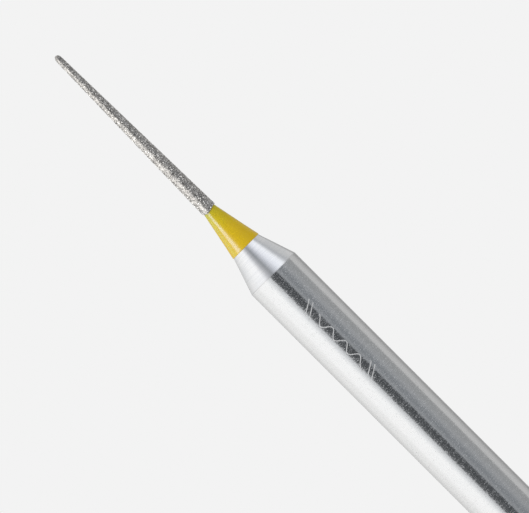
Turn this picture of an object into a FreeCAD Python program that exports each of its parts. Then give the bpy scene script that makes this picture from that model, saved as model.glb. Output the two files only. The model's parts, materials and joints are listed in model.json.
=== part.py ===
import FreeCAD, Part
import math
import os
import Sketcher

# Dental bur for a turbine handpiece: a slim, tapering diamond needle on a round friction-grip
# shank. Three pieces share one axis, which is +Z from the shank's flat rear end, where the
# origin is, to the round tip. Lengths are in millimetres.
#
# steel_blank   turned from one rod: shank, shoulder cone, neck cone and needle core
# colour_band   yellow lacquer round the neck cone, which marks how fine the grit is
# diamond_coat  nickel plate that holds a single layer of diamond grit on the needle core

# The sizes that can be set by themselves, and what each one measures. The shank, shoulder, band
# and working lengths lie end to end along the axis.
DRIVING_SIZES = [
    ("shank_diameter", 1.60, "round shank that the chuck grips"),
    ("shank_length", 12.00, "rear end to the front edge of the shank"),
    ("rear_chamfer", 0.20, "chamfer round the rear end, which leads the shank into the chuck"),
    ("front_edge_break", 0.02, "small chamfer on the edge between the shank and the shoulder"),
    ("shoulder_length", 1.03, "bare steel cone in front of the shank"),
    ("shoulder_tip_diameter", 0.92, "steel where the shoulder meets the neck"),
    ("band_length", 1.38, "neck cone, which the lacquer covers from end to end"),
    ("lacquer_thickness", 0.012, "lacquer, square to the neck cone"),
    ("lacquer_edge_radius", 0.008, "rounded edges of the lacquer"),
    ("neck_diameter", 0.36, "steel where the band ends and the grit begins"),
    ("working_length", 5.74, "grit-covered needle, up to its very tip"),
    ("coat_thickness", 0.0375, "nickel and grit, measured across the axis"),
    ("coat_edge_radius", 0.012, "rounded rear edge of the plating, beside the band"),
    ("core_tip_radius", 0.05, "ball end of the steel core"),
]

# Where the pieces in front of the shank begin, as heights on the axis.
NECK_START = "Sizes.shank_length + Sizes.shoulder_length"
NEEDLE_START = f"{NECK_START} + Sizes.band_length"

# How a sketch numbers an edge's ends and an arc's centre, and its own two axes.
START, END, CENTRE = range(1, 4)
SKETCH_BASELINE, SKETCH_AXIS = range(-1, -3, -1)
SKETCH_ORIGIN = (SKETCH_BASELINE, START)

# The size that each way of breaking an edge is driven by.
EDGE_SIZES = {"Chamfer": "Size", "Fillet": "Radius"}

# A circular edge is the one that is sought if it lies within this distance of it.
EDGE_TOLERANCE = 1e-4

PARTS_FOLDER = "parts"


def make_sheet(doc):
    """Writes the driving sizes to a spreadsheet, a row each: name, number and meaning."""
    sheet = doc.addObject("Spreadsheet::Sheet", "Sizes")
    for row, (alias, number, meaning) in enumerate(DRIVING_SIZES, start=1):
        sheet.set(f"A{row}", alias.replace("_", " "))
        sheet.set(f"B{row}", str(number))
        sheet.setAlias(f"B{row}", alias)
        sheet.set(f"C{row}", meaning)
    doc.recompute()
    return sheet


def new_body(doc, label, start):
    """An empty body whose own origin lies on the axis, at the height that start works out."""
    body = doc.addObject("PartDesign::Body", label)
    body.Label = label
    body.setExpression("Placement.Base.z", start)
    return body


class HalfSection:
    """A closed half section in a body's XZ plane: x is the radius, y the height on the axis.

    Edges are drawn where the present sizes put them, and are then tied to the spreadsheet.
    """

    def __init__(self, body, name, start="0"):
        """start works out how far above the body's own origin the section's foot lies."""
        plane = next(item for item in body.Origin.OriginFeatures if item.Role == "XZ_Plane")
        self.sketch = body.newObject("Sketcher::SketchObject", name)
        self.sketch.AttachmentSupport = (plane, [""])
        self.sketch.MapMode = "FlatFace"
        self.sketch.setExpression("AttachmentOffset.Base.y", start)
        self.edges = []

    def draw(self, curve):
        """Adds the next edge of the section and returns its number."""
        self.edges.append(self.sketch.addGeometry(curve, False))
        return self.edges[-1]

    def line(self, first, last):
        """A straight edge between two (radius, height) points."""
        return self.draw(Part.LineSegment(FreeCAD.Vector(*first, 0), FreeCAD.Vector(*last, 0)))

    def ball_end(self, height, radius, side_angle):
        """An arc centred on the axis, from the side of the section up to the axis."""
        circle = Part.Circle(FreeCAD.Vector(0, height, 0), FreeCAD.Vector(0, 0, 1), radius)
        return self.draw(Part.ArcOfCircle(circle, side_angle, math.pi / 2))

    def close(self, smooth_after=None):
        """Joins each edge to the next, and the last to the first, one joint of them smoothly."""
        for edge, following in zip(self.edges, self.edges[1:] + self.edges[:1]):
            joint = "Tangent" if edge == smooth_after else "Coincident"
            self.rule(joint, edge, END, following, START)

    def rule(self, *terms):
        """A constraint that holds no size."""
        self.sketch.addConstraint(Sketcher.Constraint(*terms))

    def size(self, name, expression, *terms):
        """A constraint whose size follows the spreadsheet."""
        index = self.sketch.addConstraint(Sketcher.Constraint(*terms, number(self.sketch, expression)))
        self.sketch.renameConstraint(index, name)
        self.sketch.setExpression(f"Constraints.{name}", expression)

    def reach(self, name, expression, edge, end):
        """Fixes how far from the axis an edge's end lies."""
        self.size(name, expression, "DistanceX", *SKETCH_ORIGIN, edge, end)

    def climb(self, name, expression, edge, lower=START, upper=END):
        """Fixes how far an edge climbs along the axis."""
        self.size(name, expression, "DistanceY", edge, lower, edge, upper)


def number(item, expression):
    """What an expression on the spreadsheet's sizes comes to at present."""
    return float(item.evalExpression(expression))


def turn(body, section, name, kind="Revolution"):
    """Turns a half section through a full circle, to add its solid or, as a Groove, to cut it."""
    feature = body.newObject(f"PartDesign::{kind}", name)
    feature.Profile = section.sketch
    feature.ReferenceAxis = (section.sketch, ["V_Axis"])
    feature.Angle = 360
    feature.Refine = True
    body.Document.recompute()
    return feature


def circular_edge(feature, radius, height):
    """The name of a feature's circular edge with this radius, at this height in its body."""
    for index, edge in enumerate(feature.Shape.Edges, start=1):
        if not isinstance(edge.Curve, Part.Circle):
            continue
        misses = (edge.Curve.Radius - radius, edge.Curve.Center.z - height)
        if max(map(abs, misses)) < EDGE_TOLERANCE:
            return f"Edge{index}"
    raise ValueError(f"{feature.Label} has no circle of radius {radius} at height {height}")


def break_edges(feature, kind, name, circles, alias):
    """Chamfers or fillets circular edges, given as (radius, height), by a size in the sheet."""
    broken = feature.getParent().newObject(f"PartDesign::{kind}", name)
    broken.Base = (feature, [circular_edge(feature, *circle) for circle in circles])
    broken.setExpression(EDGE_SIZES[kind], f"Sizes.{alias}")
    feature.Document.recompute()
    return broken


def blank_section(body, sheet):
    """Half section of the steel behind the needle core: shank, shoulder cone and neck cone."""
    shank_radius = sheet.shank_diameter / 2
    neck_start = number(sheet, NECK_START)
    needle_start = number(sheet, NEEDLE_START)
    corners = [
        (0, 0),
        (shank_radius, 0),
        (shank_radius, sheet.shank_length),
        (sheet.shoulder_tip_diameter / 2, neck_start),
        (sheet.neck_diameter / 2, needle_start),
        (0, needle_start),
    ]

    section = HalfSection(body, "BlankSection")
    sides = zip(corners, corners[1:] + corners[:1])
    rear, shank, shoulder, neck, front, axis = [section.line(*side) for side in sides]
    section.close()
    section.rule("Coincident", rear, START, *SKETCH_ORIGIN)
    section.rule("Horizontal", rear)
    section.rule("Vertical", shank)
    section.rule("Horizontal", front)
    section.rule("Vertical", axis)
    section.reach("shank_radius", "Sizes.shank_diameter / 2", shank, END)
    section.reach("shoulder_tip_radius", "Sizes.shoulder_tip_diameter / 2", shoulder, END)
    section.reach("neck_radius", "Sizes.neck_diameter / 2", neck, END)
    section.climb("shank_length", "Sizes.shank_length", shank)
    section.climb("shoulder_length", "Sizes.shoulder_length", shoulder)
    section.climb("band_length", "Sizes.band_length", neck)
    return section


def needle_section(body, name, cover="0", start="0"):
    """Half section of the needle: a slight cone that runs smoothly into its ball end.

    cover works out how thick a layer lies on the steel core. The core itself has none.
    """
    foot_size = f"Sizes.neck_diameter / 2 + {cover}"
    tip_size = f"Sizes.core_tip_radius + {cover}"
    length_size = f"Sizes.working_length - Sizes.coat_thickness + {cover}"
    foot_radius, tip_radius, length = [number(body, size) for size in (foot_size, tip_size, length_size)]

    # The side touches the ball where the ball's radius is square to it.
    ball_height = length - tip_radius
    foot_to_centre = math.hypot(foot_radius, ball_height)
    side_angle = math.acos(tip_radius / foot_to_centre) - math.atan2(ball_height, foot_radius)
    side_end = (tip_radius * math.cos(side_angle), ball_height + tip_radius * math.sin(side_angle))

    section = HalfSection(body, name, start)
    foot = section.line((0, 0), (foot_radius, 0))
    side = section.line((foot_radius, 0), side_end)
    ball = section.ball_end(ball_height, tip_radius, side_angle)
    axis = section.line((0, length), (0, 0))
    section.close(smooth_after=side)
    section.rule("Coincident", foot, START, *SKETCH_ORIGIN)
    section.rule("Horizontal", foot)
    section.rule("Vertical", axis)
    section.rule("PointOnObject", ball, CENTRE, SKETCH_AXIS)
    section.reach("foot_radius", foot_size, foot, END)
    section.size("tip_radius", tip_size, "Radius", ball)
    section.climb("length", length_size, axis, END, START)
    return section


def make_steel_blank(doc, sheet):
    """One rod, turned to the shank and its two cones and ground to the needle core."""
    body = new_body(doc, "steel_blank", "0")
    turn(body, blank_section(body, sheet), "Blank")
    core = turn(body, needle_section(body, "CoreSection", start=NEEDLE_START), "NeedleCore")

    rear_edge = (sheet.shank_diameter / 2, 0)
    front_edge = (sheet.shank_diameter / 2, sheet.shank_length)
    chamfered = break_edges(core, "Chamfer", "RearChamfer", [rear_edge], "rear_chamfer")
    break_edges(chamfered, "Chamfer", "FrontEdge", [front_edge], "front_edge_break")
    return body


def make_colour_band(doc, sheet):
    """A thin sleeve of lacquer that covers the neck cone and ends flush with it."""
    body = new_body(doc, "colour_band", NECK_START)
    rear_radius = sheet.shoulder_tip_diameter / 2
    front_radius = sheet.neck_diameter / 2
    length = sheet.band_length
    taper = math.atan2(rear_radius - front_radius, length)
    cover = sheet.lacquer_thickness / math.cos(taper)

    section = HalfSection(body, "BandSection")
    rear = section.line((rear_radius, 0), (rear_radius + cover, 0))
    outside = section.line((rear_radius + cover, 0), (front_radius + cover, length))
    front = section.line((front_radius + cover, length), (front_radius, length))
    inside = section.line((front_radius, length), (rear_radius, 0))
    section.close()
    section.rule("PointOnObject", rear, START, SKETCH_BASELINE)
    section.rule("Horizontal", rear)
    section.rule("Horizontal", front)
    section.rule("Parallel", inside, outside)
    section.reach("rear_radius", "Sizes.shoulder_tip_diameter / 2", rear, START)
    section.reach("front_radius", "Sizes.neck_diameter / 2", front, END)
    section.climb("length", "Sizes.band_length", inside, END, START)
    section.size("thickness", "Sizes.lacquer_thickness", "Distance", outside, START, inside)

    sleeve = turn(body, section, "Sleeve")
    ends = [(rear_radius + cover, 0), (front_radius + cover, length)]
    break_edges(sleeve, "Fillet", "LacquerEdges", ends, "lacquer_edge_radius")
    return body


def make_diamond_coat(doc, sheet):
    """Plated grit: the covered needle, hollowed by the steel core that it lies on."""
    body = new_body(doc, "diamond_coat", NEEDLE_START)
    turn(body, needle_section(body, "CoatSection", cover="Sizes.coat_thickness"), "CoveredNeedle")
    shell = turn(body, needle_section(body, "CoreRoomSection"), "CoreRoom", "Groove")
    rear_edge = (sheet.neck_diameter / 2 + sheet.coat_thickness, 0)
    break_edges(shell, "Fillet", "PlatingEdge", [rear_edge], "coat_edge_radius")
    return body


def check_document(doc, bodies):
    """Stops if a feature has failed, a sketch is loose or a piece is not one sound solid."""
    for item in doc.Objects:
        if "Invalid" in item.State or "Error" in item.State:
            raise RuntimeError(f"{item.Label} did not compute: {item.State}")
        if item.isDerivedFrom("Sketcher::SketchObject") and not item.FullyConstrained:
            raise RuntimeError(f"{item.Label} is not fully constrained")
    for body in bodies:
        if body.Shape.isNull() or not body.Shape.isValid() or len(body.Shape.Solids) != 1:
            raise RuntimeError(f"{body.Label} is not one valid solid")


def main():
    doc = FreeCAD.newDocument("DentalBur")
    sheet = make_sheet(doc)
    bodies = [
        make_steel_blank(doc, sheet),
        make_colour_band(doc, sheet),
        make_diamond_coat(doc, sheet),
    ]
    doc.recompute()
    check_document(doc, bodies)

    os.makedirs(PARTS_FOLDER, exist_ok=True)
    for body in bodies:
        body.Shape.exportStep(f"{PARTS_FOLDER}/{body.Label}.step")
        box = body.Shape.BoundBox
        print(f"{body.Label}: {body.Shape.Volume:.5f} mm3, z {box.ZMin:.4f} to {box.ZMax:.4f}")


main()
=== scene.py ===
import itertools
import json
import math
import random

import bpy
import numpy as np
from mathutils import Matrix, Vector, noise


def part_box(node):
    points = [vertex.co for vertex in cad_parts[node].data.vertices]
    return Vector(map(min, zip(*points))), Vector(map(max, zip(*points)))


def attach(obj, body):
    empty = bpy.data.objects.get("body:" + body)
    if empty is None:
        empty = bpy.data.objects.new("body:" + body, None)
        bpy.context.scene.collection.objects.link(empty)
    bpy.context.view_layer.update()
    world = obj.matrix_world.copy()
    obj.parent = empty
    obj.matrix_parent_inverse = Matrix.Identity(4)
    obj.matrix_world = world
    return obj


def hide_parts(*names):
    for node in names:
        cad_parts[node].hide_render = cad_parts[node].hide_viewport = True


# The looks of a dental diamond bur: mirror-ground steel shank, turned cones, a yellow lacquer
# band and a needle plated with fine diamond grit. Lengths are in metres unless a name says
# otherwise, and the tool's axis is Z, from the shank's rear end at 0 to the tip.

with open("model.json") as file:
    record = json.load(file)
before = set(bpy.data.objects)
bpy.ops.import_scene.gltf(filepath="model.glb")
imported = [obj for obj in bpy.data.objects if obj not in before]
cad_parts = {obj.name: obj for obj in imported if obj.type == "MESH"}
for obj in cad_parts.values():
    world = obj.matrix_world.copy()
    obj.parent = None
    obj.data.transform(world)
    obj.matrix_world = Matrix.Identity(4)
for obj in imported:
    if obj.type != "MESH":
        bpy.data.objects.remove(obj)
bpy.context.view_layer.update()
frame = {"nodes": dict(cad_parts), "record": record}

MM = 1e-3
MICRON = 1e-6
BODY = "root"


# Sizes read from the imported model

def ring_radius(node, height):
    """The widest radius that a CAD node has among its corners at a height."""
    corners = [v.co for v in frame["nodes"][node].data.vertices]
    return max(math.hypot(co.x, co.y) for co in corners if abs(co.z - height) < 2 * MICRON)


def mount(name):
    """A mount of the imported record."""
    return next(m for m in frame["record"]["mounts"] if m["name"] == name)


SHANK_MID = mount("shank")["pos_m"][2]
SHANK_WALL = mount("shank")["dims"]["length_mm"] * MM
REAR_CHAMFER_END = SHANK_MID - SHANK_WALL / 2
FRONT_CHAMFER_START = SHANK_MID + SHANK_WALL / 2
SHANK_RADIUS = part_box("steel_blank")[1].x
REAR_FACE_RADIUS = ring_radius("steel_blank", 0.0)
BAND_START, BAND_END = [corner.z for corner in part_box("colour_band")]
SHOULDER_TIP_RADIUS = ring_radius("steel_blank", BAND_START)
NECK_RADIUS = ring_radius("steel_blank", BAND_END)
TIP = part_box("diamond_coat")[1].z
CORE_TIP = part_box("steel_blank")[1].z
COAT_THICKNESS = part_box("diamond_coat")[1].x - NECK_RADIUS
CORE_TIP_RADIUS = 0.05 * MM
# The grit's highest points stand this far over the mean surface that the model has.
GRIT_SWELL = 0.0095 * MM
COAT_REAR_RADIUS = NECK_RADIUS + COAT_THICKNESS + GRIT_SWELL
COAT_TIP_RADIUS = CORE_TIP_RADIUS + COAT_THICKNESS + GRIT_SWELL
# The edge that shows lies this far into the model's small chamfer.
FRONT_EDGE = FRONT_CHAMFER_START + 0.034 * MM


# Node trees

class Tree:
    """Adds nodes to a node tree, each in one call that also fills or wires its sockets."""

    def __init__(self, tree):
        self.tree = tree
        tree.nodes.clear()

    def add(self, kind, *inputs, **settings):
        """A node of a kind. Inputs fill its sockets in order; settings are its properties."""
        made = self.tree.nodes.new(f"ShaderNode{kind}")
        for name, value in settings.items():
            setattr(made, name, value)
        for socket, value in zip(made.inputs, inputs):
            self.fill(socket, value)
        return made

    def fill(self, socket, value):
        """Wires an output to a socket, or sets the socket to a plain value."""
        if isinstance(value, bpy.types.NodeSocket):
            self.tree.links.new(value, socket)
        elif value is not None:
            socket.default_value = value

    def math(self, operation, *inputs, clamp=False):
        """The result of a Math node."""
        return self.add("Math", *inputs, operation=operation, use_clamp=clamp).outputs[0]

    def vector(self, operation, *inputs):
        """The vector result of a Vector Math node."""
        return self.add("VectorMath", *inputs, operation=operation).outputs[0]

    def ramp(self, factor, stops):
        """The colour of a ramp, whose stops are (place, colour) pairs."""
        made = self.add("ValToRGB", factor)
        elements = made.color_ramp.elements
        while len(elements) < len(stops):
            elements.new(0.5)
        for element, (place, colour) in zip(elements, stops):
            element.position = place
            element.color = rgba(colour)
        return made.outputs["Color"]

    def mix(self, factor, first, second):
        """A mix of two colours: all the first at 0, and all the second at 1."""
        made = self.add("Mix", data_type="RGBA")
        self.fill(made.inputs[0], factor)
        for socket, colour in ((made.inputs[6], first), (made.inputs[7], second)):
            self.fill(socket, colour if isinstance(colour, bpy.types.NodeSocket) else rgba(colour))
        return made.outputs[2]

    def spread(self, value, low, high):
        """A value from 0 to 1, spread from one number to another."""
        return self.add("MapRange", value, 0.0, 1.0, low, high).outputs[0]

    def blend_step(self, value, low, high):
        """0 below low, 1 above high, and a smooth step between them."""
        made = self.add("MapRange", value, low, high, 0.0, 1.0, interpolation_type="SMOOTHSTEP")
        return made.outputs[0]

    def group(self, tree, **inputs):
        """A shared group, with its inputs given by name."""
        made = self.tree.nodes.new("ShaderNodeGroup")
        made.node_tree = tree
        for name, value in inputs.items():
            self.fill(made.inputs[name.replace("_", " ").capitalize()], value)
        return made.outputs


def rgba(colour):
    """A grey level or a colour as four numbers."""
    if isinstance(colour, (int, float)):
        colour = (colour,) * 3
    return (*colour[:3], 1.0)


def new_group(name, inputs, outputs):
    """An empty shader node group: its tree, the values it is given and the sockets it fills."""
    tree = bpy.data.node_groups.new(name, "ShaderNodeTree")
    builder = Tree(tree)
    for socket, default in inputs.items():
        made = tree.interface.new_socket(socket, in_out="INPUT", socket_type="NodeSocketFloat")
        made.default_value = default
    for socket, kind in outputs.items():
        tree.interface.new_socket(socket, in_out="OUTPUT", socket_type=f"NodeSocket{kind}")
    given = tree.nodes.new("NodeGroupInput").outputs
    result = tree.nodes.new("NodeGroupOutput").inputs
    return builder, given, result


def make_millimetres():
    """Group: the surface's place on the tool in millimetres, and its height there."""
    t, _, result = new_group("place_on_tool", {}, {"Place": "Vector", "Height": "Float"})
    place = t.vector("MULTIPLY", t.add("TexCoord").outputs["Object"], (1 / MM,) * 3)
    t.fill(result["Place"], place)
    t.fill(result["Height"], t.add("SeparateXYZ", place).outputs[2])
    return t.tree


def make_turning_marks(place_group):
    """Group: fine rings that a cutting tool or a grinding wheel leaves round the axis."""
    t, given, result = new_group(
        "turning_marks", {"Rings per mm": 40.0, "Drift": 0.15}, {"Height": "Float"}
    )
    place = t.group(place_group)["Place"]
    split = t.add("SeparateXYZ", place).outputs
    stretched = t.add(
        "CombineXYZ",
        t.math("MULTIPLY", split[0], given["Drift"]),
        t.math("MULTIPLY", split[1], given["Drift"]),
        t.math("MULTIPLY", split[2], given["Rings per mm"]),
    ).outputs[0]
    t.fill(result["Height"], t.add("TexNoise", stretched, None, 1.0, 3.0, 0.7).outputs[0])
    return t.tree


def make_fine_specks(place_group):
    """Group: tiny round specks of mixed size and strength, in a share of a pattern's cells."""
    t, given, result = new_group(
        "fine_specks", {"Per mm": 24.0, "Share": 0.4, "Seed": 0.0}, {"Height": "Float"}
    )
    place = t.group(place_group)["Place"]
    shift = t.add("CombineXYZ", given["Seed"], given["Seed"], 0.0).outputs[0]
    cells = t.add("TexVoronoi", t.vector("ADD", place, shift), None, given["Per mm"]).outputs
    own = t.add("SeparateColor", cells["Color"]).outputs
    chosen = t.math("LESS_THAN", own[0], given["Share"])
    reach = t.spread(own[1], 0.34, 0.64)
    strength = t.math("MULTIPLY", chosen, t.spread(own[2], 0.25, 1.0))
    raised = t.blend_step(cells["Distance"], reach, 0.0)
    t.fill(result["Height"], t.math("MULTIPLY", raised, strength))
    return t.tree


def make_clouding(place_group):
    """Group: slow unevenness, from 0 to 1, such as haze on metal or uneven paint."""
    t, given, result = new_group("clouding", {"Per mm": 1.5, "Seed": 0.0}, {"Cloud": "Float"})
    place = t.group(place_group)["Place"]
    shift = t.add("CombineXYZ", given["Seed"], 0.0, given["Seed"]).outputs[0]
    shifted = t.vector("ADD", place, shift)
    cloud = t.add("TexNoise", shifted, None, given["Per mm"], 4.0, 0.55).outputs[0]
    t.fill(result["Cloud"], t.blend_step(cloud, 0.3, 0.7))
    return t.tree


def make_near_height(place_group):
    """Group: 1 at a height on the tool, in millimetres, fading to 0 at a reach from it."""
    t, given, result = new_group("near_height", {"At": 0.0, "Reach": 0.02}, {"Mask": "Float"})
    away = t.math("ABSOLUTE", t.math("SUBTRACT", t.group(place_group)["Height"], given["At"]))
    t.fill(result["Mask"], t.blend_step(away, given["Reach"], 0.0))
    return t.tree


PLACE = make_millimetres()
TURNING_MARKS = make_turning_marks(PLACE)
FINE_SPECKS = make_fine_specks(PLACE)
CLOUDING = make_clouding(PLACE)
NEAR_HEIGHT = make_near_height(PLACE)


# Materials

def new_material(name):
    """An empty node material: its tree and the Principled shader that feeds its output."""
    material = bpy.data.materials.new(name)
    material.use_nodes = True
    t = Tree(material.node_tree)
    shader = t.add("BsdfPrincipled")
    t.add("OutputMaterial", shader.outputs[0])
    return material, t, shader.inputs


def bumped(t, sockets, *layers):
    """Feeds Normal with bumps laid over each other, each a height and its depth in metres."""
    normal = None
    for height, depth in layers:
        made = t.add("Bump")
        t.fill(made.inputs["Strength"], 1.0)
        t.fill(made.inputs["Distance"], depth)
        t.fill(made.inputs["Height"], height)
        t.fill(made.inputs["Normal"], normal)
        normal = made.outputs[0]
    t.fill(sockets["Normal"], normal)


# The steel's colour is darker in a line at the front edge, this far ahead of the edge and this wide
# to each side, in millimetres.
FRONT_LINE_AHEAD = 0.01
FRONT_LINE_REACH = 0.026
FRONT_LINE_TONE = (0.70, 0.70, 0.70)


def with_front_line(t, steel):
    """A steel's colour, darker in a line at the front edge."""
    place = FRONT_EDGE / MM + FRONT_LINE_AHEAD
    line = t.group(NEAR_HEIGHT, at=place, reach=FRONT_LINE_REACH)["Mask"]
    return t.mix(line, steel, FRONT_LINE_TONE)


# The shank is dull where its strokes and its grain pass a threshold. Each pair is a value far
# behind the front edge and its change at the edge, where the dull spots are fewer but stronger,
# over this reach in millimetres.
SPARSE_REACH = 2.0
STROKE_THRESHOLD = (0.5, 0.15)
GRAIN_THRESHOLD = (0.35, 0.16)
GRAIN_GAIN = (0.33, 0.35)
PIT_GAIN = (0.4, -0.15)


def ground_steel():
    """The shank: centreless ground and polished until it mirrors, with fine strokes left in it."""
    material, t, sockets = new_material("ground_steel")
    cloud = t.group(CLOUDING, per_mm=2.0, seed=3.0)["Cloud"]
    strokes = t.group(TURNING_MARKS, rings_per_mm=24.0, drift=4.0)["Height"]
    pits = t.group(FINE_SPECKS, per_mm=22.0, share=0.9, seed=14.0)["Height"]
    grain = t.group(CLOUDING, per_mm=30.0, seed=21.0)["Cloud"]
    steel = t.mix(cloud, (0.820, 0.825, 0.825), (0.830, 0.830, 0.830))
    steel = t.mix(t.blend_step(strokes, 0.60, 0.35), steel, (0.808, 0.808, 0.808))
    t.fill(sockets["Base Color"], with_front_line(t, steel))
    sockets["Metallic"].default_value = 1.0
    polish = t.spread(cloud, 0.035, 0.055)
    sparse = t.group(NEAR_HEIGHT, at=FRONT_EDGE / MM, reach=SPARSE_REACH)["Mask"]

    def by_place(far, change):
        return t.math("MULTIPLY_ADD", sparse, change, far)

    brushed = t.math("SUBTRACT", strokes, by_place(*STROKE_THRESHOLD), clamp=True)
    grainy = t.math("SUBTRACT", grain, by_place(*GRAIN_THRESHOLD), clamp=True)
    grainy = t.math("MULTIPLY", grainy, by_place(*GRAIN_GAIN))
    pitted = t.math("MULTIPLY", pits, by_place(*PIT_GAIN))
    dull = t.math("ADD", pitted, t.math("ADD", brushed, grainy))
    t.fill(sockets["Roughness"], t.math("ADD", polish, dull))
    bumped(t, sockets, (strokes, 2.5 * MICRON), (pits, 0.5 * MICRON))
    return material


def turned_steel():
    """The cones: turned, with fine rings that blur what they mirror along the axis."""
    material, t, sockets = new_material("turned_steel")
    cloud = t.group(CLOUDING, per_mm=3.0, seed=8.0)["Cloud"]
    marks = t.group(TURNING_MARKS, rings_per_mm=36.0, drift=1.2)["Height"]
    specks = t.group(FINE_SPECKS, per_mm=26.0, share=0.4, seed=5.0)["Height"]
    steel = t.mix(cloud, (0.82, 0.83, 0.84), (0.86, 0.86, 0.86))
    steel = t.mix(t.blend_step(marks, 0.62, 0.30), steel, (0.77, 0.78, 0.795))
    t.fill(sockets["Base Color"], with_front_line(t, steel))
    sockets["Metallic"].default_value = 1.0
    t.fill(sockets["Roughness"], t.spread(cloud, 0.11, 0.16))
    bumped(t, sockets, (marks, 1.5 * MICRON), (specks, 0.4 * MICRON))
    return material


def yellow_lacquer():
    """The band: thin glossy paint, thinner and greener over the grey steel at its front end."""
    material, t, sockets = new_material("yellow_lacquer")
    height = t.group(PLACE)["Height"]
    front = t.add("MapRange", height, BAND_START / MM, BAND_END / MM, 0.0, 1.0).outputs[0]
    cloud = t.group(CLOUDING, per_mm=5.0, seed=1.0)["Cloud"]
    paint = t.ramp(front, [
        (0.0, (0.640, 0.435, 0.004)),
        (0.45, (0.640, 0.447, 0.005)),
        (0.85, (0.545, 0.44, 0.007)),
        (1.0, (0.475, 0.42, 0.012)),
    ])
    t.fill(sockets["Base Color"], t.mix(t.math("MULTIPLY", cloud, 0.2), paint, (0.60, 0.35, 0.004)))
    t.fill(sockets["Roughness"], t.spread(cloud, 0.26, 0.31))
    sockets["Specular IOR Level"].default_value = 0.23
    specks = t.group(FINE_SPECKS, per_mm=9.0, share=0.1, seed=2.0)["Height"]
    bumped(t, sockets, (cloud, 0.12 * MICRON), (specks, 0.4 * MICRON))
    return material


def nickel_plate():
    """The plating between the grains: matt grey nickel."""
    material, t, sockets = new_material("nickel_plate")
    cloud = t.group(CLOUDING, per_mm=12.0, seed=4.0)["Cloud"]
    t.fill(sockets["Base Color"], t.mix(cloud, (0.27, 0.26, 0.248), (0.50, 0.483, 0.462)))
    sockets["Metallic"].default_value = 1.0
    t.fill(sockets["Roughness"], t.spread(cloud, 0.32, 0.45))
    specks = t.group(FINE_SPECKS, per_mm=60.0, share=0.8, seed=7.0)["Height"]
    bumped(t, sockets, (specks, 1.0 * MICRON))
    return material


# How far back from the needle's tip the grit's colour is darkened as painted shade, in millimetres.
TIP_SHADE_REACH = 0.5


def diamond_grain():
    """The grains: hard, bright facets, some clear and some clouded by the plating on them."""
    material, t, sockets = new_material("diamond_grain")
    cloud = t.group(CLOUDING, per_mm=24.0, seed=6.0)["Cloud"]
    own = t.add("NewGeometry").outputs["Random Per Island"]
    tone = t.ramp(own, [
        (0.0, (0.20, 0.195, 0.187)),
        (0.35, (0.34, 0.33, 0.316)),
        (0.6, (0.78, 0.76, 0.73)),
        (1.0, (1.0, 0.98, 0.945)),
    ])
    tone = t.mix(t.math("MULTIPLY", cloud, 0.15), tone, (0.94, 0.92, 0.885))
    # Painted shade: the grains' colour darkens towards the tip, standing in for the shading there.
    worn = t.math("MULTIPLY", t.group(NEAR_HEIGHT, at=TIP / MM, reach=TIP_SHADE_REACH)["Mask"], 0.6)
    t.fill(sockets["Base Color"], t.mix(worn, tone, (0.27, 0.265, 0.255)))
    sockets["Metallic"].default_value = 1.0
    t.fill(sockets["Roughness"], t.spread(own, 0.36, 0.24))
    specks = t.group(FINE_SPECKS, per_mm=110.0, share=0.7, seed=9.0)["Height"]
    bumped(t, sockets, (specks, 0.5 * MICRON))
    return material


def etched_steel():
    """The strokes of the marking: steel that a laser has left matt and pale."""
    material, t, sockets = new_material("etched_steel")
    cloud = t.group(CLOUDING, per_mm=30.0, seed=11.0)["Cloud"]
    t.fill(sockets["Base Color"], t.mix(cloud, (0.58, 0.585, 0.59), (0.74, 0.745, 0.75)))
    sockets["Metallic"].default_value = 0.4
    t.fill(sockets["Roughness"], t.spread(cloud, 0.4, 0.55))
    specks = t.group(FINE_SPECKS, per_mm=70.0, share=0.6, seed=12.0)["Height"]
    bumped(t, sockets, (specks, 1.5 * MICRON))
    return material


# Turned shapes

def round_the_axis(radius, angle, height):
    """A point or a normal in space, turned by an angle from the side that the camera sees."""
    return radius * math.sin(angle), -radius * math.cos(angle), height


def rounded(corners, steps=6):
    """An outline with its corners rounded, as points and their outward normals.

    A corner is (radius, height, rounding). The outline runs with the solid on its left.
    """
    places = [Vector(corner[:2]) for corner in corners]
    points, normals = [], []
    for index, (place, (_, _, rounding)) in enumerate(zip(places, corners)):
        before = (place - places[index - 1]).normalized() if index else None
        after = (places[index + 1] - place).normalized() if index + 1 < len(places) else None
        if before is None or after is None or rounding == 0:
            for run in (before, after):
                if run is not None:
                    points.append(place.copy())
                    normals.append(Vector((run.y, -run.x)))
            continue
        turn = before.angle_signed(after)
        reach = rounding * math.tan(abs(turn) / 2)
        start = place - before * reach
        side = Vector((before.y, -before.x))
        centre = start - side * math.copysign(rounding, -turn)
        for step in range(steps + 1):
            spin = Matrix.Rotation(-turn * step / steps, 2)
            normal = spin @ side
            points.append(centre + normal * math.copysign(rounding, -turn))
            normals.append(normal)
    return points, normals


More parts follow.
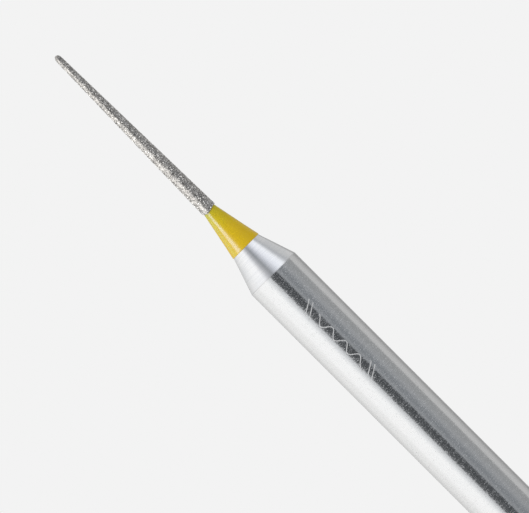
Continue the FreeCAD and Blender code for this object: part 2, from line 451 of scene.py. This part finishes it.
def lathe(name, points, normals, around, materials, material_of=None, shape=None):
    """A mesh turned about Z from an outline, smooth where the outline's normals say so.

    material_of picks a material by a height, and shape moves a corner given its angle,
    radius, height and normal.
    """
    angles = np.linspace(0, 2 * math.pi, around, endpoint=False)
    verts, vert_normals, rows = [], [], []
    for point, normal in zip(points, normals):
        if point.x < MICRON / 10:
            rows.append([len(verts)])
            verts.append((0.0, 0.0, point.y))
            vert_normals.append((0.0, 0.0, math.copysign(1.0, normal.y)))
            continue
        rows.append(list(range(len(verts), len(verts) + around)))
        for angle in angles:
            radius, height = shape(angle, point, normal) if shape else point
            verts.append(round_the_axis(radius, angle, height))
            vert_normals.append(round_the_axis(normal.x, angle, normal.y))
    faces, heights = [], []
    for row, following, low, high in zip(rows, rows[1:], points, points[1:]):
        if (low - high).length < MICRON / 100 or len(row) == len(following) == 1:
            continue
        for index in range(max(len(row), len(following))):
            nxt = (index + 1) % around
            if len(row) == 1:
                faces.append((row[0], following[nxt], following[index]))
            elif len(following) == 1:
                faces.append((row[index], row[nxt], following[0]))
            else:
                faces.append((row[index], row[nxt], following[nxt], following[index]))
            heights.append((low.y + high.y) / 2)
    mesh = bpy.data.meshes.new(name)
    mesh.from_pydata(verts, [], faces)
    for material in materials:
        mesh.materials.append(material)
    if material_of:
        mesh.polygons.foreach_set("material_index", [material_of(height) for height in heights])
    mesh.shade_smooth()
    mesh.normals_split_custom_set_from_vertices(vert_normals)
    return place_piece(name, mesh)


def place_piece(name, mesh):
    """Puts a mesh into the scene under its own name."""
    piece = bpy.data.objects.new(name, mesh)
    bpy.context.scene.collection.objects.link(piece)
    return piece


def finish_piece(piece, node):
    """Ties a piece to the tool's body and the CAD node that it dresses."""
    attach(piece, BODY)
    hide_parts(node)


SHANK_AROUND = 320
EDGE_ROUNDING = 0.03 * MM
# The shank's steel lies this far under its own outline, so that the marking can lie on it.
MARK_DEPTH = 0.6 * MICRON


def make_steel():
    """The steel blank, from the rear face to the tip of the core, with its edges broken."""
    corners = [
        (0.0, 0.0, 0.0),
        (REAR_FACE_RADIUS, 0.0, EDGE_ROUNDING),
        (SHANK_RADIUS - MARK_DEPTH, REAR_CHAMFER_END, 0.05 * MM),
        (SHANK_RADIUS - MARK_DEPTH, FRONT_EDGE, 0.02 * MM),
        (SHOULDER_TIP_RADIUS, BAND_START, EDGE_ROUNDING),
        (NECK_RADIUS, BAND_END, 0.0),
        (CORE_TIP_RADIUS, CORE_TIP, 0.95 * CORE_TIP_RADIUS),
        (0.0, CORE_TIP, 0.0),
    ]
    points, normals = rounded(corners)
    steel = lathe(
        "turned_blank", points, normals, SHANK_AROUND, [ground_steel(), turned_steel()],
        material_of=lambda height: int(height > FRONT_EDGE),
    )
    finish_piece(steel, "steel_blank")


# The marking, by its distance behind the shank's front edge: a wave between two pairs of strokes.
WAVE_START = 1.59 * MM
WAVE_LENGTH = 1.76 * MM
WAVE_TURNS = 3.5
WAVE_SWING = 0.105 * MM
WAVE_STEPS = 220
STROKES_BEHIND = (1.25 * MM, 1.39 * MM, 3.55 * MM, 3.69 * MM)
STROKE_REACH = 0.42 * MM
STROKE_SLANT = 0.26 * MM
STROKE_STEPS = 16
LINE_WIDTH = 0.027 * MM


def wave_line():
    """The wave's middle line, as places round the shank and heights."""
    line = []
    for step in range(WAVE_STEPS + 1):
        share = step / WAVE_STEPS
        swing = WAVE_SWING * math.cos(math.tau * WAVE_TURNS * share)
        line.append(Vector((swing, FRONT_EDGE - WAVE_START - WAVE_LENGTH * share)))
    return line


def slanted_line(behind):
    """A straight slanted stroke's middle line."""
    line = []
    for step in range(STROKE_STEPS + 1):
        share = step / STROKE_STEPS - 0.5
        line.append(Vector((STROKE_REACH * share, FRONT_EDGE - behind + STROKE_SLANT * share)))
    return line


def make_marking():
    """A generic marking: plain etched lines, pale and matt, that lie on the polished shank."""
    lines = [wave_line()]
    lines += [slanted_line(behind) for behind in STROKES_BEHIND]
    verts, faces = [], []
    for line in lines:
        last = len(line) - 1
        for step, place in enumerate(line):
            run = (line[min(step + 1, last)] - line[max(step - 1, 0)]).normalized()
            for side in (-LINE_WIDTH / 2, LINE_WIDTH / 2):
                spot = place + Vector((-run.y, run.x)) * side
                verts.append(round_the_axis(SHANK_RADIUS, spot.x / SHANK_RADIUS, spot.y))
            if step:
                corner = len(verts) - 4
                faces.append((corner, corner + 1, corner + 3, corner + 2))
    mesh = bpy.data.meshes.new("etched_lines")
    mesh.from_pydata(verts, [], faces)
    for face in mesh.polygons:
        if face.normal.dot(face.center.xy.to_3d()) < 0:
            face.flip()
    mesh.materials.append(etched_steel())
    mesh.shade_smooth()
    marking = place_piece("etched_lines", mesh)
    finish_piece(marking, "steel_blank")


# The paint ends blunt at its rear, has run into a low bead just in front of that, and is thinnest
# at its front. The bead's place and reach are distances ahead of the neck cone's rear end.
BLUNT_THICKNESS = 0.0153 * MM
BEAD_THICKNESS = 0.017 * MM
BEAD_PLACE = 0.05 * MM
BEAD_REACH = 0.44 * MM
PAINT_THICKNESS = 0.012 * MM
FRONT_PAINT_THICKNESS = 0.010 * MM
# The lacquer begins this far in front of the edge between shoulder and neck cone.
LACQUER_GAP = 0.01 * MM
LACQUER_START = BAND_START + LACQUER_GAP
CONE_SLOPE = (SHOULDER_TIP_RADIUS - NECK_RADIUS) / (BAND_END - BAND_START)
# The edge between lacquer and coat runs ahead of the solids' edge, but sweeps back at one side.
EDGE_LEAD = 0.015 * MM
EDGE_SWEEP = 0.060 * MM
EDGE_SWEEP_ANGLE = math.radians(-17)
EDGE_SWEEP_REACH = 0.3 * MM


def edge_sweep(angle, distance):
    """How far back the edge between lacquer and coat pulls a point, by its distance from it."""
    back = EDGE_SWEEP * np.maximum(0.0, np.cos(angle - EDGE_SWEEP_ANGLE)) ** 3 - EDGE_LEAD
    return back * np.maximum(0.0, 1 - distance / EDGE_SWEEP_REACH)


def over_cone(ahead, thickness):
    """Radius over the neck cone, at a distance ahead of its rear end, for a thickness of paint."""
    return SHOULDER_TIP_RADIUS - CONE_SLOPE * ahead + thickness * math.hypot(1, CONE_SLOPE)


def swept_edge(place, back):
    """A point of the edge moved back along the cone, or ahead along the core."""
    return place + Vector((CONE_SLOPE * max(0.0, back), -back))


def make_band():
    """The lacquer: a thin sleeve on the neck cone, with a low bead at its rear."""
    corners = [
        (over_cone(LACQUER_GAP, 0.0), LACQUER_START, 0.0),
        (over_cone(LACQUER_GAP, BLUNT_THICKNESS), LACQUER_START, 0.004 * MM),
        (over_cone(BEAD_PLACE, BEAD_THICKNESS), BAND_START + BEAD_PLACE, 0.15 * MM),
        (over_cone(BEAD_REACH, PAINT_THICKNESS), BAND_START + BEAD_REACH, 0.8 * MM),
        (over_cone(BAND_END - BAND_START, FRONT_PAINT_THICKNESS), BAND_END, 0.002 * MM),
        (NECK_RADIUS, BAND_END, 0.0),
        (over_cone(LACQUER_GAP, 0.0), LACQUER_START, 0.0),
    ]

    def swept(angle, place, normal):
        return swept_edge(place, edge_sweep(angle, BAND_END - place.y))

    points, normals = rounded(corners)
    band = lathe("lacquer_band", points, normals, SHANK_AROUND, [yellow_lacquer()], shape=swept)
    finish_piece(band, "colour_band")
    return band


# Diamond coat

# The plating lies this far under the grains' tops, and swells and dips by this much.
GRAIN_STAND_OUT = 0.009 * MM
PLATE_LUMP = 0.003 * MM
PLATE_LUMP_SIZE = 0.03 * MM
PLATE_AROUND = 96
PLATE_STEP = 0.014 * MM
# The nose is worn to half an ellipse, this long.
NOSE_LENGTH = 0.14 * MM
NOSE_START = TIP - NOSE_LENGTH
NOSE_ARC = math.pi / 2 * math.sqrt((NOSE_LENGTH ** 2 + COAT_TIP_RADIUS ** 2) / 2)
COAT_PATH_LENGTH = NOSE_START - BAND_END + NOSE_ARC


def coat_side(height):
    """Radius of the coat's envelope at a height on its straight side."""
    share = (height - BAND_END) / (NOSE_START - BAND_END)
    return COAT_REAR_RADIUS + (COAT_TIP_RADIUS - COAT_REAR_RADIUS) * share


def coat_path(length):
    """Place and normal on the envelope, by the distance from its rear edge along its outline."""
    if length <= NOSE_START - BAND_END:
        height = BAND_END + length
        return Vector((coat_side(height), height)), Vector((1.0, 0.0))
    turn = min((length - NOSE_START + BAND_END) / NOSE_ARC, 1.0) * math.pi / 2
    place = Vector((COAT_TIP_RADIUS * math.cos(turn), NOSE_START + NOSE_LENGTH * math.sin(turn)))
    normal = Vector((math.cos(turn) / COAT_TIP_RADIUS, math.sin(turn) / NOSE_LENGTH)).normalized()
    return place, normal


def make_plating():
    """The nickel: a lumpy skin a little below the coat's envelope, closed over the core."""
    rows = round(COAT_PATH_LENGTH / PLATE_STEP)
    rear_edge = Vector((NECK_RADIUS, BAND_END))
    inner_edge = rear_edge + Vector((0.0, PLATE_STEP / 4))
    outline = [(rear_edge, Vector((0.0, -1.0)))]
    for row in range(rows + 1):
        place, normal = coat_path(COAT_PATH_LENGTH * row / rows)
        outline.append((place - normal * GRAIN_STAND_OUT, normal))
    outline.append((Vector((0.0, CORE_TIP)), Vector((0.0, -1.0))))
    outline.append((Vector((CORE_TIP_RADIUS, CORE_TIP - CORE_TIP_RADIUS)), Vector((-1.0, 0.0))))
    outline.append((inner_edge, Vector((-1.0, 0.0))))
    outline.append((rear_edge, Vector((-1.0, 0.0))))
    outer = {id(place) for place, _ in outline[1:rows + 2]}

    def lumps(angle, place, normal):
        back = edge_sweep(angle, place.y - BAND_END)
        if place is rear_edge:
            return swept_edge(place, back)
        if id(place) not in outer:
            return place
        spot = Vector((place.x * math.sin(angle), place.x * math.cos(angle), place.y))
        lump = noise.noise(spot / PLATE_LUMP_SIZE) * PLATE_LUMP
        return place + normal * lump - Vector((0.0, back))

    points, normals = zip(*outline)
    plating = lathe("nickel_plating", points, normals, PLATE_AROUND, [nickel_plate()], shape=lumps)
    finish_piece(plating, "diamond_coat")
    return plating


GRAIN_SEED = 20
GRAIN_SHAPES = 16
GRAIN_CORNERS = 12
GRAIN_SIZE = 0.044 * MM
GRAIN_SIZE_SPREAD = (0.75, 1.15)
GRAIN_CORNER_SPREAD = (0.72, 1.1)
GRAIN_STRETCH_SPREAD = (0.75, 1.2)
GRAIN_PITCH = 0.040 * MM
# No grain sits nearer to the coat's rear edge than this.
REAR_MARGIN = 0.3 * GRAIN_PITCH
# How far a grain is shaken out of its row, in pitches along and round the tool.
SHAKE_ALONG = 0.35
SHAKE_AROUND = 0.3
# How far a grain's top stands over the envelope, at least and at most, before it is worn flat.
GRAIN_PROUD = (-0.0012 * MM, 0.0048 * MM)


def grain_shapes(count, rng):
    """Some crushed-crystal shapes of about unit size: icosahedra pulled out of true."""
    golden = (1 + math.sqrt(5)) / 2
    corners = []
    for a in (-1, 1):
        for b in (-golden, golden):
            corners += [(0, a, b), (a, b, 0), (b, 0, a)]
    corners = np.array(corners, float)
    corners /= np.linalg.norm(corners[0])
    # Corners an edge apart are neighbours, with 1 % allowed for rounding.
    edge = min(np.linalg.norm(corners[0] - other) for other in corners[1:])
    near = np.linalg.norm(corners[:, None] - corners[None], axis=2) < 1.01 * edge
    faces = []
    for i, j, k in itertools.combinations(range(GRAIN_CORNERS), 3):
        if near[i, j] and near[j, k] and near[i, k]:
            normal = np.cross(corners[j] - corners[i], corners[k] - corners[i])
            faces.append((i, j, k) if normal @ corners[i] > 0 else (i, k, j))
    shapes = []
    for _ in range(count):
        pull = np.array([[rng.uniform(*GRAIN_CORNER_SPREAD)] for _ in range(GRAIN_CORNERS)])
        stretch = np.array([rng.uniform(*GRAIN_STRETCH_SPREAD) for _ in range(3)])
        shapes.append(corners * pull * stretch * 0.5)
    return shapes, np.array(faces)


def grain_places(rng):
    """Where grains sit: staggered rows over the envelope, each grain shaken out of line."""
    rows = round(COAT_PATH_LENGTH / (GRAIN_PITCH * math.sqrt(3) / 2))
    for row in range(rows):
        along = COAT_PATH_LENGTH * (row + 0.5) / rows
        radius = coat_path(along)[0].x
        count = max(1, round(2 * math.pi * radius / GRAIN_PITCH))
        for index in range(count):
            shaken = along + rng.uniform(-SHAKE_ALONG, SHAKE_ALONG) * GRAIN_PITCH
            turn = index + row % 2 / 2 + rng.uniform(-SHAKE_AROUND, SHAKE_AROUND)
            angle = 2 * math.pi * turn / count
            yield min(max(shaken, REAR_MARGIN), COAT_PATH_LENGTH), angle


def keep_inside(verts):
    """Pulls the corners that stand proud of the coat's envelope back onto it, as if worn flat."""
    verts[:, 2] = np.maximum(verts[:, 2], BAND_END)
    on_nose = verts[:, 2] >= NOSE_START
    out = np.maximum(np.hypot(verts[:, 0], verts[:, 1]), MICRON)
    pull = np.where(on_nose, 1.0, np.minimum(1.0, coat_side(verts[:, 2]) / out))
    verts[:, :2] *= pull[:, None]
    start = np.array((0.0, 0.0, NOSE_START))
    size = np.array((COAT_TIP_RADIUS, COAT_TIP_RADIUS, NOSE_LENGTH))
    nose = (verts - start) / size
    reach = np.maximum(np.linalg.norm(nose, axis=1), 1.0)
    pull = np.where(on_nose, 1.0 / reach, 1.0)
    return nose * pull[:, None] * size + start


def sweep_back(verts):
    """Moves the coat's rear edge with the lacquer's front edge."""
    angles = np.arctan2(verts[:, 0], -verts[:, 1])
    verts[:, 2] -= edge_sweep(angles, verts[:, 2] - BAND_END)
    return verts


def make_grains():
    """The diamond grit: thousands of small crystals, about half sunk in the plating."""
    rng = random.Random(GRAIN_SEED)
    shapes, faces = grain_shapes(GRAIN_SHAPES, rng)
    corner_blocks, face_blocks = [], []
    for along, angle in grain_places(rng):
        place, normal = coat_path(along)
        size = GRAIN_SIZE * rng.uniform(*GRAIN_SIZE_SPREAD)
        shape = shapes[rng.randrange(len(shapes))]
        spin = Matrix.Rotation(rng.uniform(0, math.tau), 3, Vector.Fill(3, 1).normalized())
        tumble = Matrix.Rotation(rng.uniform(0, math.tau), 3, "Z") @ spin
        corners = (shape * size) @ np.array(tumble)
        across = np.array(round_the_axis(normal.x, angle, normal.y))
        drop = (corners @ across).max() - rng.uniform(*GRAIN_PROUD)
        centre = np.array(round_the_axis(place.x, angle, place.y)) - across * drop
        face_blocks.append(faces + GRAIN_CORNERS * len(corner_blocks))
        corner_blocks.append(corners + centre)
    verts = sweep_back(keep_inside(np.concatenate(corner_blocks)))
    mesh = bpy.data.meshes.new("diamond_grains")
    mesh.from_pydata(verts.tolist(), [], np.concatenate(face_blocks).tolist())
    mesh.materials.append(diamond_grain())
    grains = place_piece("diamond_grains", mesh)
    finish_piece(grains, "diamond_coat")
    return grains


# Studio

IMAGE_SIZE = (529, 513)
LENS_MM = 300.0
SENSOR_MM = 36.0
# Where the needle's tip lies in the picture, and how wide the shank is there, in pixels.
TIP_PIXEL = (55.5, 56.0)
SHANK_PIXELS = 60.6
BACKGROUND = 0.896
FILL_LEVEL = 0.775


def make_camera():
    """A long lens, square to the axis and rolled so that the tool lies on the diagonal."""
    data = bpy.data.cameras.new("camera")
    data.lens = LENS_MM
    data.sensor_width = SENSOR_MM
    data.sensor_fit = "HORIZONTAL"
    data.clip_start = 1 * MM
    pixel = 2 * SHANK_RADIUS / SHANK_PIXELS
    right = Vector((1, 0, -1)).normalized()
    up = Vector((1, 0, 1)).normalized()
    back = right.cross(up)
    distance = LENS_MM / SENSOR_MM * IMAGE_SIZE[0] * pixel
    centre = Vector((0, 0, TIP))
    centre += right * (IMAGE_SIZE[0] / 2 - TIP_PIXEL[0]) * pixel
    centre -= up * (IMAGE_SIZE[1] / 2 - TIP_PIXEL[1]) * pixel
    camera = bpy.data.objects.new("camera", data)
    turned = Matrix((right, up, back)).transposed().to_4x4()
    camera.matrix_world = Matrix.Translation(centre + back * distance) @ turned
    bpy.context.scene.collection.objects.link(camera)
    bpy.context.scene.camera = camera


# What polished metal sees round it at its own height, by the bearing in degrees from the camera,
# left of it below zero.
LEVEL_STUDIO = [
    # A dark flag behind the tool, and a pale wall that runs from it to the left.
    (-180, (0.10, 0.10, 0.105)),
    (-172, (0.12, 0.12, 0.125)),
    (-170, (0.67, 0.67, 0.67)),
    (-150, (0.70, 0.70, 0.695)),
    (-118, (0.945, 0.945, 0.94)),
    (-93, (0.995, 0.995, 0.99)),
    # The white softbox on the left, which falls off towards the camera.
    (-82, (1.09, 1.09, 1.09)),
    (-44, (1.11, 1.115, 1.115)),
    (-35, (0.97, 0.985, 0.995)),
    (-28, (0.79, 0.81, 0.83)),
    (-17.5, (0.64, 0.655, 0.67)),
    # The dark lens and its hood, straight ahead.
    (-16.5, (0.115, 0.12, 0.126)),
    (-8, (0.095, 0.10, 0.106)),
    (2, (0.066, 0.071, 0.077)),
    (16, (0.075, 0.08, 0.086)),
    # A grey-blue wall on the right, in uneven light.
    (17, (0.35, 0.367, 0.385)),
    (25, (0.285, 0.30, 0.318)),
    (32, (0.225, 0.24, 0.258)),
    (42, (0.25, 0.265, 0.283)),
    (50, (0.305, 0.32, 0.337)),
    (58, (0.355, 0.365, 0.38)),
    (76, (0.325, 0.335, 0.342)),
    (94.5, (0.345, 0.35, 0.355)),
    # A paler panel beyond the wall, a strip of light, and the other edge of the flag.
    (95.5, (0.575, 0.577, 0.577)),
    (114, (0.56, 0.56, 0.56)),
    (128, (0.47, 0.47, 0.47)),
    (145, (0.34, 0.34, 0.34)),
    (156, (0.32, 0.32, 0.32)),
    (161, (0.50, 0.50, 0.50)),
    (170, (0.50, 0.50, 0.50)),
    (172, (0.12, 0.12, 0.125)),
    (180, (0.10, 0.10, 0.105)),
]

# The same for what the cones see, a third of the way up: the pale wall, then the softbox from
# -100 to -30, the dim space over the lens, a pale blue window from 20 to 70, and a grey wall.
RAISED_STUDIO = [
    (-180, (0.62, 0.62, 0.62)),
    (-160, (0.66, 0.66, 0.66)),
    (-145, (0.74, 0.74, 0.735)),
    (-136, (0.79, 0.79, 0.785)),
    (-127, (0.85, 0.85, 0.85)),
    (-112, (0.94, 0.94, 0.94)),
    (-95, (1.0, 1.0, 1.0)),
    (-78, (1.08, 1.08, 1.08)),
    (-48, (1.10, 1.10, 1.11)),
    (-38, (0.93, 0.93, 0.95)),
    (-24, (0.58, 0.585, 0.61)),
    (-8, (0.36, 0.37, 0.39)),
    (-2, (0.33, 0.345, 0.365)),
    (4, (0.45, 0.465, 0.50)),
    (20, (0.70, 0.72, 0.775)),
    (34, (0.92, 0.94, 1.0)),
    (54, (1.04, 1.06, 1.11)),
    (66, (0.99, 1.005, 1.04)),
    (76, (0.67, 0.685, 0.71)),
    (86, (0.50, 0.51, 0.53)),
    (102, (0.60, 0.605, 0.61)),
    (130, (0.64, 0.64, 0.64)),
    (160, (0.64, 0.64, 0.64)),
    (180, (0.62, 0.62, 0.62)),
]

# And for what the shank sees below its own height, when it is looked at from above: a table
# behind the tool, the softbox's lower half, the lens from -17 to 17, and the walls.
LOWERED_STUDIO = [
    (-180, (0.55, 0.55, 0.55)),
    (-144, (0.86, 0.86, 0.86)),
    (-141, (0.30, 0.305, 0.31)),
    (-112, (0.22, 0.225, 0.23)),
    (-102, (0.40, 0.405, 0.41)),
    (-98, (0.95, 0.95, 0.95)),
    (-44, (1.08, 1.08, 1.08)),
    (-28, (0.90, 0.91, 0.92)),
    (-17.5, (0.66, 0.67, 0.69)),
    (-16.5, (0.16, 0.165, 0.17)),
    (16, (0.10, 0.106, 0.112)),
    (17, (0.36, 0.375, 0.39)),
    (40, (0.26, 0.275, 0.29)),
    (90, (0.35, 0.355, 0.36)),
    (95, (0.60, 0.60, 0.60)),
    (125, (0.54, 0.54, 0.54)),
    (140, (0.35, 0.35, 0.35)),
    (168, (0.30, 0.30, 0.30)),
    (171, (0.10, 0.10, 0.105)),
    (177, (0.10, 0.10, 0.105)),
    (180, (0.55, 0.55, 0.55)),
]

# Where one studio gives way to the next, in degrees of climb or sink, and how bright the ceiling
# and the table are.
RAISED_FROM = (6.0, 14.0)
CEILING_FROM = (55.0, 75.0)
CEILING_LEVEL = 1.0
LOWERED_FROM = (6.0, 12.0)
TABLE_FROM = (35.0, 60.0)
TABLE_LEVEL = 0.75


def make_studio():
    """The world: a flat pale background, the studio that metal mirrors, and plain fill light."""
    world = bpy.data.worlds.new("studio")
    world.use_nodes = True
    bpy.context.scene.world = world
    t = Tree(world.node_tree)
    split = t.add("SeparateXYZ", t.add("TexCoord").outputs["Generated"]).outputs
    bearing = t.math("ARCTAN2", split[0], t.math("MULTIPLY", split[1], -1.0))
    turned = t.math("ADD", t.math("DIVIDE", bearing, math.tau), 0.5)
    level, raised, lowered = [
        t.ramp(turned, [((degrees + 180) / 360, colour) for degrees, colour in stops])
        for stops in (LEVEL_STUDIO, RAISED_STUDIO, LOWERED_STUDIO)
    ]
    climb = t.math("DEGREES", t.math("ARCSINE", split[2]))
    sink = t.math("MULTIPLY", climb, -1.0)
    studio = t.mix(t.blend_step(climb, *RAISED_FROM), level, raised)
    studio = t.mix(t.blend_step(climb, *CEILING_FROM), studio, CEILING_LEVEL)
    studio = t.mix(t.blend_step(sink, *LOWERED_FROM), studio, lowered)
    studio = t.mix(t.blend_step(sink, *TABLE_FROM), studio, TABLE_LEVEL)
    path = t.add("LightPath").outputs
    seen = t.math("MAXIMUM", path["Is Camera Ray"], path["Is Transmission Ray"])
    light = t.mix(path["Is Glossy Ray"], FILL_LEVEL, studio)
    colour = t.mix(seen, light, BACKGROUND)
    background = t.add("Background", colour, 1.0)
    t.add("OutputWorld", background.outputs[0])


LAMP_DISTANCE = 150 * MM
WHITE = (1.0, 1.0, 1.0)
SKY_TINT = (0.50, 0.72, 1.20)
PALE_SKY_TINT = (0.05, 0.75, 0.95)
WARM_TINT = (1.0, 0.99, 0.965)
# Lamps: name, bearing and climb in degrees, width and height in millimetres, level and tint.
KEY_LAMP = ("key", -58, 25, 90, 90, 3.65, WHITE)
PAINT_STRIPS = [
    ("paint_gloss", -59, 24, 74, 70, 18.5, SKY_TINT),
    ("paint_side_gloss", -103, 14, 116, 60, 2.7, PALE_SKY_TINT),
    ("paint_back_gloss", -86, -6, 50, 24, 9.0, SKY_TINT),
    ("paint_rear_gloss", 148, 19, 44, 30, 6.0, SKY_TINT),
    ("paint_low_gloss", -11, -7, 50, 34, 9.0, SKY_TINT),
]
GRIT_STRIPS = [
    ("grit_gloss", -62, 8, 180, 120, 1.55, WARM_TINT),
    ("grit_rear_gloss", 182, 5, 120, 100, 0.8, WARM_TINT),
]


def make_lamp(name, bearing, climb, width, height, level, tint):
    """A soft lamp that faces the band. Its level is its brightness, whatever its size."""
    data = bpy.data.lights.new(name, "AREA")
    data.color = tint
    data.shape = "RECTANGLE"
    data.size = width * MM
    data.size_y = height * MM
    data.energy = level * math.pi * (width * MM) * (height * MM)
    lamp = bpy.data.objects.new(name, data)
    rise = math.radians(climb)
    way = Vector(round_the_axis(math.cos(rise), math.radians(bearing), math.sin(rise)))
    band_place = Vector((0, 0, BAND_START))
    lamp.matrix_world = Matrix.Translation(band_place + way * LAMP_DISTANCE) @ facing(way)
    bpy.context.scene.collection.objects.link(lamp)
    return lamp


def facing(way):
    """The turn that points an object's back along a way and keeps its top up."""
    side = Vector((0, 0, 1)).cross(way).normalized()
    return Matrix((side, way.cross(side), way)).transposed().to_4x4()


def make_key():
    """The key: a broad lamp on the left that lights paint and floor; the metal sees the studio."""
    lamp = make_lamp(*KEY_LAMP)
    lamp.visible_glossy = False


def make_gloss_strip(strip, pieces):
    """A lamp that only shows as a reflection, and only in the pieces given."""
    lamp = make_lamp(*strip)
    lamp.visible_camera = False
    lamp.visible_diffuse = False
    lit = bpy.data.collections.new(f"{lamp.name}_pieces")
    for piece in pieces:
        lit.objects.link(piece)
    lamp.light_linking.receiver_collection = lit


FLOOR_RADIUS = 25 * MM
FLOOR_AROUND = 96
# Where the floor gives way to the background, as it is seen and as metal mirrors it.
SEEN_RIM = (0.5 * FLOOR_RADIUS, 0.98 * FLOOR_RADIUS)
MIRRORED_RIM = (2 * MM, 6 * MM)
PAPER_TONES = (0.885, 0.905)
PAPER_GRAIN_SCALE = 900.0


def pale_floor():
    """The floor's paper, which gives way to the background at its rim."""
    material = bpy.data.materials.new("pale_floor")
    material.use_nodes = True
    t = Tree(material.node_tree)
    place = t.add("TexCoord").outputs["Object"]
    out = t.add("VectorMath", place, operation="LENGTH").outputs["Value"]
    path = t.add("LightPath").outputs
    seen_rim = t.blend_step(out, *SEEN_RIM)
    mirrored_rim = t.blend_step(out, *MIRRORED_RIM)
    grain = t.add("TexNoise", place, None, PAPER_GRAIN_SCALE, 3.0, 0.5).outputs[0]
    paper = t.add("BsdfDiffuse", t.mix(grain, *PAPER_TONES)).outputs[0]
    backdrop = t.add("Emission", rgba(BACKGROUND), 1.0).outputs[0]
    gone = t.add("BsdfTransparent").outputs[0]
    seen = t.add("MixShader", seen_rim, paper, backdrop).outputs[0]
    mirrored = t.add("MixShader", mirrored_rim, paper, gone).outputs[0]
    lit = t.add("MixShader", seen_rim, paper, gone).outputs[0]
    other = t.add("MixShader", path["Is Glossy Ray"], lit, mirrored).outputs[0]
    t.add("OutputMaterial", t.add("MixShader", path["Is Camera Ray"], other, seen).outputs[0])
    return material


def make_floor():
    """A plain pale floor under the shank: a disc in two rings."""
    verts = [(0.0, 0.0, 0.0)]
    for ring in (0.5, 1.0):
        for step in range(FLOOR_AROUND):
            turn = math.tau * step / FLOOR_AROUND
            reach = ring * FLOOR_RADIUS
            verts.append((reach * math.sin(turn), reach * math.cos(turn), 0.0))
    faces = []
    for step in range(FLOOR_AROUND):
        inner, next_inner = 1 + step, 1 + (step + 1) % FLOOR_AROUND
        faces.append((0, next_inner, inner))
        faces.append((inner, next_inner, FLOOR_AROUND + next_inner, FLOOR_AROUND + inner))
    mesh = bpy.data.meshes.new("floor")
    mesh.from_pydata(verts, [], faces)
    mesh.materials.append(pale_floor())
    place_piece("floor", mesh)


make_steel()
make_marking()
band = make_band()
plating = make_plating()
grains = make_grains()
make_camera()
make_studio()
make_key()
for paint_strip in PAINT_STRIPS:
    make_gloss_strip(paint_strip, [band])
for grit_strip in GRIT_STRIPS:
    make_gloss_strip(grit_strip, [plating, grains])
make_floor()

bpy.context.scene.view_settings.view_transform = "Standard"
